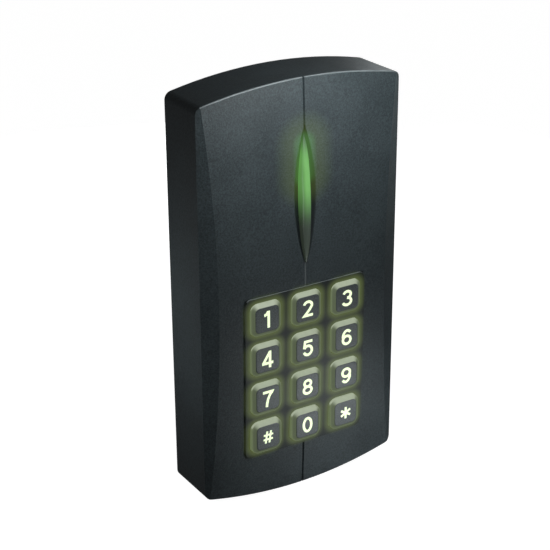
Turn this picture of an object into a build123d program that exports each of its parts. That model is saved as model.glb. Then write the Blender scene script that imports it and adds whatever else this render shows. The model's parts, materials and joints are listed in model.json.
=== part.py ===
from build123d import *
from math import atan, degrees, sqrt
import os

# Wall-mounted proximity card reader with a backlit twelve-key pad and a status light.
#
# The reader is modelled lying on its back: x across, y up the wall, z out of the wall.
# turned_upright() stands it up for export: +Z is up, the front faces -Y, and the origin is
# the middle of the face that lies on the wall. All sizes are in millimetres.

# ---- Driving dimensions -------------------------------------------------------------

# Housing
WIDTH = 68.0
HEIGHT = 130.0
END_RISE = 3.94  # how far the curved top and bottom rise above their corners
CORNER_RADIUS = 2.5
LEAST_CORNER = 0.5  # of an outline drawn in from the housing's
EDGE_DEPTH = 17.3  # side walls, from the wall to the bevel
CROWN_DEPTH = 20.1  # middle of the front
CROWN_DROP_Y = 1.55  # fall of the front from its middle to the top and bottom
CROWN_DROP_X = 0.9  # fall of the front from its middle to the sides
BEVEL_SLOPE = 0.43  # rise over run of the long side bevels
EDGE_ROUND = 0.4
SIDE_WALL = 2.2
FRONT_WALL = 2.6  # at the middle; it thins towards the sides, because only the outside is crowned across
SEAM_WIDTH = 0.7
SEAM_DEPTH = 0.5

# Keypad
KEY_WIDTH = 10.4
KEY_HEIGHT = 10.3
KEY_SPACING_X = 3.65  # between one key and the next
KEY_SPACING_Y = 2.65
KEY_CORNER = 2.5
KEY_FACE_INSET = 1.35
KEY_FACE_CORNER = 1.3
KEY_RISE = 0.9  # key face above the foot of its bevel
KEY_EDGE_ROUND = 0.25
KEY_GAP = 0.2  # between a key and its hole
KEY_FLANGE = 0.8  # overhang of the flange that keeps the key in, and its thickness
KEY_FLANGE_GAP = 0.2
KEY_TRAVEL = 1.0
KEYPAD_BOTTOM = 14.48  # from the housing's lowest point up to the keypad panel
PANEL_DEPTH = 20.45  # where the keys' bevels begin, above the wall
PANEL_RISE = 0.25  # keypad panel above the front's middle line, which its face follows
PANEL_MARGIN = 1.75  # panel beyond the outer keys
PANEL_CORNER = 2.2
PANEL_EDGE_ROUND = 0.15
PANEL_WALL = 2.4

# Status light
LENS_WIDTH = 2.9
LENS_TOP = 16.6  # from the housing's highest point down to the lens
LENS_BOTTOM = 7.38  # from the keypad panel up to the lens
LENS_RISE = 1.7  # lens crown above the front
LENS_END_FALL = 1.9  # fall of the lens crown from its middle to its tips
LENS_SECTION_RISE = 1.2  # crown of the lens across its width
LENS_TILT = 1.2  # degrees; the lower tip stands out further than the upper one
LENS_GAP = 0.1
LENS_TIP_GAP = 0.3  # beyond each sharp tip
LENS_FLANGE = 1.7
LENS_FLANGE_THICKNESS = 1.0
DISH_WIDTH = 7.8
DISH_ABOVE = 3.2  # dish beyond the lens's upper tip
DISH_BELOW = 1.5
DISH_DEPTH = 2.5

# Circuit board and what it carries
BOARD_THICKNESS = 1.6
BOARD_FRONT = 13.0  # front face above the wall
BOARD_GAP = 0.6
BOARD_SCREW_SHANK = 2.2
BOARD_SCREW_PLAY = 0.25  # round the shank in the board
BOARD_SCREW_HEAD = 4.4
BOARD_SCREW_HEAD_HEIGHT = 1.6
BOARD_SCREW_HEAD_ROUND = 0.6
BOARD_SCREW_LENGTH = 6.0  # shank beyond the head
BOARD_SCREW_SLOT = (2.4, 0.6, 0.8)  # length, width and depth of each arm of the cross
BORE_RUN_OUT = 0.5  # bore beyond a screw's tip
BOSS_DIAMETER = 5.0
BOSS_FROM_SIDE = 7.5
BOSS_FROM_TOP = 8.4
BOSS_ABOVE_KEYPAD = 2.9
BOSS_FROM_BOTTOM = 12.0
THREAD_GAP = 0.05
PAD_THICKNESS = 0.05
PAD_DIAMETER = 5.0
PAD_GAP = 0.6  # between the two halves of a contact
PILL_DIAMETER = 3.6
PILL_THICKNESS = 0.5
PILL_CLEARANCE = 0.05  # between pill and pad with the key fully pressed
MAT_THICKNESS = 1.0
MAT_INSET = 0.1  # the mat's edge inside the keypad panel's outline
DOME_WALL = 0.45
DOME_FOOT = 0.6  # width of the ring that stands on the board
DOME_TOP = 0.9  # solid silicone in front of the pill
DOME_DIAMETER = 8.6  # inside, at the board
PLUNGER_DIAMETER = 6.4
LED_LENGTH = 1.6
LED_WIDTH = 0.8
LED_HEIGHT = 0.6
LED_WINDOW = 2.8
STATUS_LED = 3.2
STATUS_LED_WIDTH = 2.6
STATUS_LED_HEIGHT = 1.4
STATUS_LED_WELL = 2.0
STATUS_LED_WELL_DEPTH = 0.4
STATUS_LED_PITCH = 4.8
LIGHT_GAP = 0.2
LIGHT_FOOT_LENGTH = 9.6
LIGHT_FOOT_INSET = 0.2  # on each side of the blade
LIGHT_FOOT_PLACE = 0.2  # of the lens's length, above its middle
COIL_FROM_SIDE = 8.0
COIL_CORNER = 12.0
COIL_LENS_GAP = 1.0  # between the spool and the light pipe's tips
COIL_BUILD = 3.2  # winding, measured across the turns
COIL_DEPTH = 1.9
COIL_SLACK = 0.3  # between the winding and the spool's rim
FORMER_WALL = 0.8
FORMER_FLANGE = 0.5

# Packages on the board's back: width, height and how far they stand off the board
MICROCONTROLLER_SIZE = (7.5, 12.8, 2.3)
MICROCONTROLLER_LEGS = 10  # on each side
READER_CHIP_SIZE = (3.9, 8.7, 1.6)
READER_CHIP_LEGS = 7
LEG_PITCH = 1.27
LEG_WIDTH = 0.5
LEG_LENGTH = 1.0
LEG_OVERLAP = 0.1  # of a leg into its package
PACKAGE_STAND_OFF = 0.1
PACKAGE_CHAMFER = 0.15
REGULATOR_SIZE = (6.6, 6.1, 2.3)
REGULATOR_CHAMFER = 0.3
REGULATOR_TAB = (5.4, 2.4, 0.6)
REGULATOR_LEG = (0.8, 2.8, 0.6)
REGULATOR_LEG_PITCH = 4.56
REGULATOR_TAB_PLACE = 4.0  # from the package's middle
REGULATOR_LEG_PLACE = 4.2
CRYSTAL_SIZE = (10.4, 4.0, 3.5)
CRYSTAL_RIM = (11.3, 4.7, 0.5)
CRYSTAL_ROUND = 0.4
CAPACITOR_BASE = (6.6, 6.6, 1.2)
CAPACITOR_CAN = 6.3
CAPACITOR_HEIGHT = 5.8
CAPACITOR_ROUND = 0.4
RESISTOR_SIZE = (2.0, 1.25, 0.6)
RESISTOR_PITCH = (3.4, 2.6)
RESISTORS_ABOVE_TERMINALS = 10.0
RESISTOR_ROWS = 6
BUZZER_DIAMETER = 12.0
BUZZER_HEIGHT = 5.5
BUZZER_ROUND = 0.5
BUZZER_HOLE = 2.2
BUZZER_HOLE_DEPTH = 1.5
BUZZER_FROM_TOP = 15.0
CRYSTAL_FROM_TOP = 26.0
READER_CHIP_FROM_TOP = 31.0
MICROCONTROLLER_FROM_TOP = 40.0
RIGHT_COLUMN_X = 12.0
LEFT_COLUMN_X = -12.0
OUTER_COLUMN_X = 20.0
CAPACITOR_UNDER_TERMINALS = 3.9
POWER_UNDER_TERMINALS = 14.3  # the regulator, and the capacitor across from it

# Mounting plate
PLATE_THICKNESS = 2.5
PLATE_GAP = 0.3  # between plate and housing, all round
SCREW_SPACING = 83.3  # wall screws
SCREW_HOLE = 4.2
SCREW_SEAT = 8.5
SCREW_SEAT_DEPTH = 1.0
CABLE_HOLE_Y = 14.0
CABLE_BORE = 6.0
GROMMET_HOLE = 13.0
GROMMET_FLANGE = 1.7
GROMMET_LIP = 0.8
GROMMET_SINK = 0.05  # the grommet's back behind the wall face
GROMMET_CHAMFER = 0.4
FIT_GAP = 0.1
HOOK_X = 14.0
HOOK_WIDTH = 8.0
HOOK_THICKNESS = 1.5
HOOK_NECK = 2.4
HOOK_LEAD_IN = 0.3
HOOK_HOLD = 0.7  # how far hook and ledge pass each other
LEDGE_THICKNESS = 1.5
LEDGE_HEIGHT = 2.2
LEDGE_GAP = 0.7  # free play of the ledge on both its faces
RIM_INSET = 1.2  # rim from the plate's edge
RIB_WIDTH = 1.4
RIB_HEIGHT = 1.2
POCKET_WIDTH = 17.0  # shallow pockets that lighten the plate's wall side
POCKET_HEIGHT = 32.0
POCKET_DEPTH = 0.8
POCKET_CORNER = 3.0
POCKET_RIB = 4.0  # between one pocket and the next
POCKET_FROM_SIDE = 6.0

# Locking screw, in the bottom of the housing
LOCK_DEPTH = 7.6  # screw axis above the wall
LOCK_SHANK = 3.0
LOCK_HEAD = 5.4
LOCK_HEAD_HEIGHT = 1.8
LOCK_HEAD_ROUND = 0.5
LOCK_TIP_CHAMFER = 0.4
LOCK_TIP_SINK = 0.2  # the backed-off tip sits this far inside the insert
LOCK_SOCKET = 2.0
LOCK_SOCKET_DEPTH = 1.2
LOCK_PIN = 0.7  # pin in the socket's middle
LOCK_CLEARANCE = 0.2  # round the shank and the head
LOCK_TRAVEL = 3.4
LOCK_INSERT = 5.0
LOCK_INSERT_LENGTH = 3.4
LOCK_BOSS_WIDTH = 8.0
LOCK_SINK = 0.2  # the backed-off head sits this far inside the housing
LOCK_SEAT_GAP = 0.1  # left under the head when the screw is fully in
LOCK_WALL = 0.3  # between the head's recess and the insert
LOCK_TAB_GAP = 1.3  # between boss and tab
LOCK_TAB_WIDTH = 12.0
LOCK_TAB_THICKNESS = 2.5
LOCK_TAB_MARGIN = 3.0
LOCK_TAB_SHOULDER = 1.0  # tab above its gussets

# Tamper switch
TAMPER_X = -20.0
TAMPER_FROM_BOTTOM = 19.0
TAMPER_SIZE = 6.2
TAMPER_HEIGHT = 3.4
TAMPER_CORNER = 0.5
TAMPER_FLOOR = 0.4  # left between the plunger's well and the board
TAMPER_CLEARANCE = 0.2  # round the plunger
TAMPER_TIP_ROUND = 0.4
TAMPER_PLUNGER = 3.4
TAMPER_POST = 5.0
TAMPER_POST_HEIGHT = 1.8
TAMPER_TOUCH = 0.05

# Terminal block
POLES = 8
POLE_PITCH = 3.5
TERMINAL_DEPTH = 7.4
TERMINAL_HEIGHT = 8.0
TERMINAL_Y = -6.0
WIRE_ENTRY = 2.5
WIRE_ENTRY_DEPTH = 5.0
TERMINAL_SCREW = 2.5
TERMINAL_SCREW_LENGTH = 3.0
TERMINAL_SCREW_SINK = 0.6
TERMINAL_SCREW_DROP = 0.6  # screws below the block's middle
TERMINAL_SCREW_SLOT = (0.5, 0.6)  # width and depth
TERMINAL_MARGIN = 0.35  # block beyond its poles, each side
TERMINAL_CHAMFER = 1.2
WIRE_ENTRY_SILL = 1.2  # between the board and a wire entry

# ---- Places worked out from them ------------------------------------------------------

BIG = 400.0  # longer than anything here, for cutting tools
BOARD_BACK = BOARD_FRONT - BOARD_THICKNESS
KEY_PITCH_X = KEY_WIDTH + KEY_SPACING_X
KEY_PITCH_Y = KEY_HEIGHT + KEY_SPACING_Y
END_RADIUS = ((WIDTH / 2) ** 2 + END_RISE**2) / (2 * END_RISE)
CROWN_RADIUS_Y = (HEIGHT / 2) ** 2 / (2 * CROWN_DROP_Y)
CROWN_RADIUS_X = (WIDTH / 2) ** 2 / (2 * CROWN_DROP_X)
PANEL_WIDTH = 2 * KEY_PITCH_X + KEY_WIDTH + 2 * PANEL_MARGIN
PANEL_HEIGHT = 3 * KEY_PITCH_Y + KEY_HEIGHT + 2 * PANEL_MARGIN
KEYPAD_CENTRE_Y = -HEIGHT / 2 + KEYPAD_BOTTOM + PANEL_HEIGHT / 2
KEYPAD_TOP = KEYPAD_CENTRE_Y + PANEL_HEIGHT / 2
LENS_LENGTH = HEIGHT / 2 - LENS_TOP - LENS_BOTTOM - KEYPAD_TOP
LENS_CENTRE_Y = KEYPAD_TOP + LENS_BOTTOM + LENS_LENGTH / 2
DISH_LENGTH = LENS_LENGTH + DISH_ABOVE + DISH_BELOW
DISH_CENTRE_Y = LENS_CENTRE_Y + (DISH_ABOVE - DISH_BELOW) / 2
BOSS_PLACES = [  # on the right-hand side, and mirrored to the left
    (WIDTH / 2 - BOSS_FROM_SIDE, HEIGHT / 2 - BOSS_FROM_TOP),
    (WIDTH / 2 - BOSS_FROM_SIDE, KEYPAD_TOP + BOSS_ABOVE_KEYPAD),
    (WIDTH / 2 - BOSS_FROM_SIDE, -HEIGHT / 2 + BOSS_FROM_BOTTOM),
]
PANEL_BACK = PANEL_DEPTH - PANEL_WALL
KEY_FACE = PANEL_DEPTH + KEY_RISE
FLANGE_FRONT = PANEL_BACK - KEY_FLANGE_GAP
FLANGE_BACK = FLANGE_FRONT - KEY_FLANGE
PILL_BACK = BOARD_FRONT + PAD_THICKNESS + PILL_CLEARANCE + KEY_TRAVEL
PILL_FRONT = PILL_BACK + PILL_THICKNESS
MAT_FRONT = BOARD_FRONT + MAT_THICKNESS
FORMER_FRONT = BOARD_FRONT + 2 * FORMER_FLANGE + COIL_DEPTH
COIL_WIDTH = WIDTH - 2 * COIL_FROM_SIDE
COIL_HEIGHT = LENS_LENGTH + 2 * (LENS_FLANGE + COIL_LENS_GAP + FORMER_WALL + COIL_BUILD)
BASE_Y = -HEIGHT / 2
LOCK_RECESS_Y = BASE_Y + LOCK_SINK + LOCK_HEAD_HEIGHT + LOCK_TRAVEL + LOCK_SEAT_GAP
LOCK_BOSS_Y = LOCK_RECESS_Y + LOCK_WALL + LOCK_INSERT_LENGTH
LOCK_TAB_Y = LOCK_BOSS_Y + LOCK_TAB_GAP
TAMPER_Y = BASE_Y + TAMPER_FROM_BOTTOM
TAMPER_TIP = PLATE_THICKNESS + TAMPER_POST_HEIGHT + TAMPER_TOUCH
TAMPER_BACK = BOARD_BACK - TAMPER_HEIGHT
KEYS = [
    ["1", "2", "3"],
    ["4", "5", "6"],
    ["7", "8", "9"],
    ["hash", "0", "star"],
]


def key_places():
    """(name, x, y) of each key, from the top left."""
    for row, names in enumerate(KEYS):
        for column, name in enumerate(names):
            yield name, (column - 1) * KEY_PITCH_X, KEYPAD_CENTRE_Y + (1.5 - row) * KEY_PITCH_Y


def both_sides(places):
    return [(side * x, y) for x, y in places for side in (-1, 1)]


def turned_upright(shape):
    return Rot(90, 0, 0) * shape


def slab(face, low, high):
    """A flat outline made into a solid from one height to another."""
    return Pos(0, 0, low) * extrude(face, high - low)


def rounded(width, height, corner, x=0.0, y=0.0):
    return Pos(x, y) * RectangleRounded(width, height, corner)


def block(width, height, low, high, x=0.0, y=0.0):
    return Pos(x, y, low) * Box(width, height, high - low, align=(Align.CENTER, Align.CENTER, Align.MIN))


def rod(diameter, low, high, x=0.0, y=0.0):
    return Pos(x, y, low) * Cylinder(diameter / 2, high - low, align=(Align.CENTER, Align.CENTER, Align.MIN))


# ---- The housing's form ------------------------------------------------------------------


def outline(inset=0.0):
    """The housing seen from the front, drawn in by inset: straight sides, arched ends, round corners."""
    half = WIDTH / 2 - inset
    centre = HEIGHT / 2 - END_RADIUS
    top = HEIGHT / 2 - inset
    shoulder = centre + sqrt((END_RADIUS - inset) ** 2 - half**2)
    edges = [
        Line((-half, -shoulder), (-half, shoulder)),
        ThreePointArc((-half, shoulder), (0, top), (half, shoulder)),
        Line((half, shoulder), (half, -shoulder)),
        ThreePointArc((half, -shoulder), (0, -top), (-half, -shoulder)),
    ]
    face = make_face(edges)
    return fillet(face.vertices(), max(CORNER_RADIUS - inset, LEAST_CORNER))


def crowned():
    """Everything under the front's doubly curved surface."""
    top = CROWN_DEPTH
    reach = WIDTH * 0.75
    fall = CROWN_RADIUS_X - sqrt(CROWN_RADIUS_X**2 - reach**2)
    low = -CROWN_DEPTH
    section = make_face(
        [
            ThreePointArc((-reach, top - fall), (0, top), (reach, top - fall)),
            Polyline((reach, top - fall), (reach, low), (-reach, low), (-reach, top - fall)),
        ]
    )
    return swept_about_crown(section)


def swept_about_crown(section):
    """A section drawn in x and height, swung along the front's lengthwise arc."""
    swing = degrees(HEIGHT * 0.6 / CROWN_RADIUS_Y)
    axis = Axis((0, 0, CROWN_DEPTH - CROWN_RADIUS_Y), (1, 0, 0))
    upright = Plane.XZ * section
    return revolve(upright.rotate(axis, -swing), axis, 2 * swing)


def side_bevels(inset=0.0):
    """The two wedges that the side bevels cut away."""
    shift = inset * (sqrt(1 + BEVEL_SLOPE**2) - BEVEL_SLOPE)
    edge = WIDTH / 2 - inset
    height = EDGE_DEPTH - shift
    run = WIDTH / 2
    wedge = make_face(
        Polyline(
            (edge, height),
            (edge - run, height + run * BEVEL_SLOPE),
            (edge + run, height + run * BEVEL_SLOPE),
            (edge + run, height - run * BEVEL_SLOPE),
            (edge, height),
        )
    )
    right = Pos(0, BIG / 2, 0) * extrude(Plane.XZ * wedge, BIG)
    return right + mirror(right, Plane.YZ)


def arched(sink):
    """Everything under the front's lengthwise arc, sunk by sink: the inside is curved one way only."""
    centre = Pos(0, 0, CROWN_DEPTH - CROWN_RADIUS_Y) * Rot(0, 90, 0)
    return centre * Cylinder(CROWN_RADIUS_Y - sink, 2 * WIDTH)


def arch_height(y, sink):
    return CROWN_DEPTH - CROWN_RADIUS_Y + sqrt((CROWN_RADIUS_Y - sink) ** 2 - y**2)


def housing_form():
    """The housing as one solid lump: its outline under the crowned front, between the bevels."""
    form = slab(outline(), 0, CROWN_DEPTH + 1) & crowned()
    rim = [edge for edge in form.edges() if edge.bounding_box().min.Z > EDGE_DEPTH]
    return fillet(rim, EDGE_ROUND) - side_bevels()


def hollow_form():
    """The space inside the walls, before anything stands in it."""
    form = slab(outline(SIDE_WALL), -1, CROWN_DEPTH) & arched(FRONT_WALL)
    return form - side_bevels(SIDE_WALL)


def front_frame(y):
    """A frame on the front's middle line at y, with z square to the surface there."""
    lean = degrees(atan(y / CROWN_RADIUS_Y))
    return Pos(0, y, arch_height(y, 0)) * Rot(-lean, 0, 0)


def pointed_oval(length, width):
    """A long outline with round sides and sharp tips."""
    steps = 8
    right = []
    for step in range(steps + 1):
        along = 2 * step / steps - 1
        right.append((width / 2 * (1 - abs(along) ** 3), along * length / 2))
    left = [(-x, y) for x, y in right]
    return make_face([Spline(*right), Spline(*left)])


def dish_cutter():
    """A blade with a V edge, swung about an axis in front of the face, which cuts the dish."""
    radius = 1 / (2 * DISH_DEPTH / (DISH_LENGTH / 2) ** 2 - 1 / CROWN_RADIUS_Y)
    above = 3.0
    half = DISH_WIDTH / 2 * (1 + above / DISH_DEPTH)
    blade = Plane.XZ * make_face(Polyline((0, -DISH_DEPTH), (half, above), (-half, above), (0, -DISH_DEPTH)))
    axis = Axis((0, 0, radius - DISH_DEPTH), (1, 0, 0))
    swing = degrees(DISH_LENGTH * 0.6 / radius)
    return front_frame(DISH_CENTRE_Y) * revolve(blade.rotate(axis, -swing), axis, 2 * swing)


# ---- Housing pieces ------------------------------------------------------------------------


def boss_bores(diameter, depth):
    return [rod(diameter, BOARD_FRONT, BOARD_FRONT + depth, x, y) for x, y in both_sides(BOSS_PLACES)]


def seam_cutter():
    deep = CROWN_DEPTH - SEAM_DEPTH
    section = make_face(
        Polyline(
            (0, deep),
            (SEAM_WIDTH, CROWN_DEPTH + SEAM_DEPTH),
            (-SEAM_WIDTH, CROWN_DEPTH + SEAM_DEPTH),
            (0, deep),
        )
    )
    return swept_about_crown(section)


def lock_boss():
    low = LOCK_DEPTH - LOCK_BOSS_WIDTH / 2
    length = 2 * (LOCK_BOSS_Y - BASE_Y)
    return block(LOCK_BOSS_WIDTH, length, low, low + LOCK_BOSS_WIDTH, 0, LOCK_BOSS_Y - length / 2)


def along_lock(diameter, low_y, high_y):
    """A rod on the lock screw's axis, which runs up the wall."""
    upright = Rot(-90, 0, 0) * Cylinder(
        diameter / 2, high_y - low_y, align=(Align.CENTER, Align.CENTER, Align.MIN)
    )
    return Pos(0, low_y, LOCK_DEPTH) * upright


def ledge_front():
    return PLATE_THICKNESS + LEDGE_GAP + LEDGE_THICKNESS


def cavity_top(x):
    centre = HEIGHT / 2 - END_RADIUS
    return centre + sqrt((END_RADIUS - SIDE_WALL) ** 2 - x**2)


def ledges():
    """Two ledges under the top wall, which the mounting plate's hooks reach behind."""
    low = PLATE_THICKNESS + LEDGE_GAP
    bottom = cavity_top(HOOK_X) - LEDGE_HEIGHT
    tall = 2 * SIDE_WALL + LEDGE_HEIGHT
    return [
        block(HOOK_WIDTH, tall, low, low + LEDGE_THICKNESS, side * HOOK_X, bottom + tall / 2)
        for side in (-1, 1)
    ]


def front_cover():
    body = housing_form() - seam_cutter()
    panel = rounded(PANEL_WIDTH, PANEL_HEIGHT, PANEL_CORNER, 0, KEYPAD_CENTRE_Y)
    raised = slab(panel, PANEL_BACK - PANEL_WALL, CROWN_DEPTH + 1) & arched(-PANEL_RISE)
    raised = fillet(raised.faces().sort_by(Axis.Z)[-1].edges(), PANEL_EDGE_ROUND)
    body = body + raised - dish_cutter()

    bosses = [rod(BOSS_DIAMETER, BOARD_FRONT, 2 * CROWN_DEPTH, x, y) for x, y in both_sides(BOSS_PLACES)]
    hollow = hollow_form()
    for solid_inside in bosses + ledges() + [lock_boss()]:
        hollow = hollow - solid_inside
    gap = 2 * KEY_FLANGE_GAP
    pocket = rounded(PANEL_WIDTH - gap, PANEL_HEIGHT - gap, PANEL_CORNER, 0, KEYPAD_CENTRE_Y)
    body = body - hollow - slab(pocket, BOARD_FRONT, PANEL_BACK)

    bore_depth = BOARD_SCREW_LENGTH - BOARD_THICKNESS + BORE_RUN_OUT
    for bore in boss_bores(BOARD_SCREW_SHANK + 2 * THREAD_GAP, bore_depth):
        body = body - bore
    for _, x, y in key_places():
        hole = rounded(
            KEY_WIDTH + 2 * KEY_GAP, KEY_HEIGHT + 2 * KEY_GAP, KEY_CORNER + KEY_GAP, x, y
        )
        body = body - slab(hole, BOARD_FRONT, PANEL_DEPTH + 1)
    lens_hole = pointed_oval(LENS_LENGTH + 2 * LENS_TIP_GAP, LENS_WIDTH + 2 * LENS_GAP)
    body = body - front_frame(LENS_CENTRE_Y) * slab(lens_hole, -2 * FRONT_WALL, FRONT_WALL)

    body = body - along_lock(LOCK_SHANK + 2 * LOCK_CLEARANCE, BASE_Y - 1, LOCK_BOSS_Y + 1)
    body = body - along_lock(LOCK_INSERT, LOCK_BOSS_Y - LOCK_INSERT_LENGTH, LOCK_BOSS_Y + 1)
    return body - along_lock(LOCK_HEAD + 2 * LOCK_CLEARANCE, BASE_Y - 1, LOCK_RECESS_Y)


def lock_insert():
    """Brass threaded insert, pressed into the boss from inside the housing."""
    low = LOCK_BOSS_Y - LOCK_INSERT_LENGTH
    return along_lock(LOCK_INSERT, low, LOCK_BOSS_Y) - along_lock(
        LOCK_SHANK + 2 * THREAD_GAP, low - 1, LOCK_BOSS_Y + 1
    )


def lock_screw():
    """Pin-hex locking screw, backed off: driven in, its tip passes through the plate's tab."""
    head_low = BASE_Y + LOCK_SINK
    head_high = head_low + LOCK_HEAD_HEIGHT
    shank = along_lock(LOCK_SHANK, head_high, LOCK_BOSS_Y - LOCK_TIP_SINK)
    shank = chamfer(shank.faces().sort_by(Axis.Y)[-1].edges(), LOCK_TIP_CHAMFER)
    head = along_lock(LOCK_HEAD, head_low, head_high)
    head = fillet(head.faces().sort_by(Axis.Y)[0].edges(), LOCK_HEAD_ROUND)
    hexagon = extrude(RegularPolygon(LOCK_SOCKET / 2, 6, False), LOCK_SOCKET_DEPTH)
    socket = Pos(0, head_low, LOCK_DEPTH) * Rot(-90, 0, 0) * hexagon
    pin = along_lock(LOCK_PIN, head_low + LOCK_SINK, head_high)
    return head + shank - socket + pin


def key_cap(x, y):
    """A translucent cap: bevelled head, straight sides in the cover's hole, and a flange behind it."""
    base = slab(rounded(KEY_WIDTH, KEY_HEIGHT, KEY_CORNER), FLANGE_BACK, PANEL_DEPTH)
    foot = rounded(KEY_WIDTH, KEY_HEIGHT, KEY_CORNER)
    face = rounded(KEY_WIDTH - 2 * KEY_FACE_INSET, KEY_HEIGHT - 2 * KEY_FACE_INSET, KEY_FACE_CORNER)
    head = loft([Pos(0, 0, PANEL_DEPTH) * foot, Pos(0, 0, KEY_FACE) * face], ruled=True)
    cap = base + head
    cap = fillet(cap.faces().sort_by(Axis.Z)[-1].edges(), KEY_EDGE_ROUND)
    flange = rounded(KEY_WIDTH + 2 * KEY_FLANGE, KEY_HEIGHT + 2 * KEY_FLANGE, KEY_CORNER)
    return Pos(x, y) * (cap + slab(flange, FLANGE_BACK, FLANGE_FRONT))


def contact_pill(x, y):
    return rod(PILL_DIAMETER, PILL_BACK, PILL_FRONT, x, y)


def light_pipe():
    """The status light: a crowned blade in the dish, a flange behind the cover and a foot over the LED."""
    blade = slab(pointed_oval(LENS_LENGTH, LENS_WIDTH), -2 * FRONT_WALL, 2 * LENS_RISE)
    length_radius = (LENS_LENGTH / 2) ** 2 / (2 * LENS_END_FALL)
    side = LENS_WIDTH / 2
    low = -2 * FRONT_WALL - 2
    shoulder = LENS_RISE - LENS_SECTION_RISE
    section = make_face(
        [
            ThreePointArc((-side, shoulder), (0, LENS_RISE), (side, shoulder)),
            Polyline((side, shoulder), (side, low), (-side, low), (-side, shoulder)),
        ]
    )
    axis = Axis((0, 0, LENS_RISE - length_radius), (1, 0, 0))
    swing = degrees(LENS_LENGTH * 0.6 / length_radius)
    crown = revolve((Plane.XZ * section).rotate(axis, -swing), axis, 2 * swing)
    blade = front_frame(LENS_CENTRE_Y) * (blade & (Rot(-LENS_TILT, 0, 0) * crown))
    blade = blade - arched(FRONT_WALL + LENS_FLANGE_THICKNESS)

    flange_outline = pointed_oval(LENS_LENGTH + 2 * LENS_FLANGE, LENS_WIDTH + 2 * LENS_FLANGE)
    flange = slab(Pos(0, LENS_CENTRE_Y) * flange_outline, BOARD_FRONT, CROWN_DEPTH)
    flange = (flange & arched(FRONT_WALL)) - arched(FRONT_WALL + LENS_FLANGE_THICKNESS)
    foot = block(
        LENS_WIDTH - 2 * LIGHT_FOOT_INSET,
        LIGHT_FOOT_LENGTH,
        BOARD_FRONT + STATUS_LED_HEIGHT + LIGHT_GAP,
        arch_height(status_led_y(), FRONT_WALL + LENS_FLANGE_THICKNESS / 2),
        0,
        status_led_y(),
    )
    return blade + flange + foot


def status_led_y():
    return LENS_CENTRE_Y + LENS_LENGTH * LIGHT_FOOT_PLACE


# ---- Circuit board ----------------------------------------------------------------------------


def circuit_board():
    low, high = BOARD_BACK - 1, BOARD_FRONT + 1
    board = slab(outline(SIDE_WALL + BOARD_GAP), BOARD_BACK, BOARD_FRONT)
    notch_width = LOCK_BOSS_WIDTH + 2 * BOARD_GAP
    notch_top = LOCK_BOSS_Y + BOARD_GAP
    notch = 2 * (LOCK_BOSS_Y - BASE_Y)
    board = board - block(notch_width, notch, low, high, 0, notch_top - notch / 2)
    for x, y in both_sides(BOSS_PLACES):
        board = board - rod(BOARD_SCREW_SHANK + 2 * BOARD_SCREW_PLAY, low, high, x, y)
    return board


def board_screws():
    """Pan-head screws that hold the board to the housing's bosses, driven from the back."""
    screws = []
    low = BOARD_BACK - BOARD_SCREW_HEAD_HEIGHT
    length, width, depth = BOARD_SCREW_SLOT
    for x, y in both_sides(BOSS_PLACES):
        head = rod(BOARD_SCREW_HEAD, low, BOARD_BACK, x, y)
        head = fillet(head.faces().sort_by(Axis.Z)[0].edges(), BOARD_SCREW_HEAD_ROUND)
        screw = head + rod(BOARD_SCREW_SHANK, BOARD_BACK, BOARD_BACK + BOARD_SCREW_LENGTH, x, y)
        for turn in (0, 90):
            screw = screw - Pos(x, y, low) * Rot(0, 0, turn) * Box(length, width, 2 * depth)
        screws.append(screw)
    return Compound(children=screws)


def contact_pads():
    """Gold comb-shaped contacts under the keys: two half discs with a gap between them."""
    pads = []
    for _, x, y in key_places():
        disc = rod(PAD_DIAMETER, BOARD_FRONT, BOARD_FRONT + PAD_THICKNESS, x, y)
        pads += (disc - Pos(x, y, BOARD_FRONT) * Box(PAD_GAP, 2 * PAD_DIAMETER, 1)).solids()
    return Compound(children=pads)


def keymat():
    """Silicone mat with a dome under each key, and windows for the backlight."""
    web = rounded(
        PANEL_WIDTH - 2 * MAT_INSET, PANEL_HEIGHT - 2 * MAT_INSET, PANEL_CORNER, 0, KEYPAD_CENTRE_Y
    )
    mat = slab(web, BOARD_FRONT, MAT_FRONT)
    inner = DOME_DIAMETER / 2
    plunger = PLUNGER_DIAMETER / 2
    fold = DOME_WALL / 2
    profile = Polyline(
        (0, PILL_FRONT),
        (plunger - DOME_WALL, PILL_FRONT),
        (plunger - DOME_WALL, PILL_FRONT + fold),
        (inner, MAT_FRONT - fold),
        (inner, BOARD_FRONT),
        (inner + DOME_FOOT, BOARD_FRONT),
        (inner + DOME_FOOT, MAT_FRONT),
        (inner + DOME_WALL, MAT_FRONT + fold),
        (plunger, PILL_FRONT + DOME_TOP),
        (plunger, FLANGE_BACK),
        (0, FLANGE_BACK),
        (0, PILL_FRONT),
    )
    dome = revolve(Plane.XZ * make_face(profile), Axis.Z, 360)
    for _, x, y in key_places():
        mat = mat - rod(DOME_DIAMETER, BOARD_FRONT - 1, MAT_FRONT + 1, x, y)
        mat = mat + Pos(x, y) * dome
    for x, y in backlight_places():
        mat = mat - rod(LED_WINDOW, BOARD_FRONT - 1, MAT_FRONT + 1, x, y)
    return mat


def backlight_places():
    return both_sides([(KEY_PITCH_X / 2, KEYPAD_CENTRE_Y + row * KEY_PITCH_Y) for row in (-1, 0, 1)])


def keypad_leds():
    top = BOARD_FRONT + LED_HEIGHT
    leds = [block(LED_LENGTH, LED_WIDTH, BOARD_FRONT, top, x, y) for x, y in backlight_places()]
    return Compound(children=leds)


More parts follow.
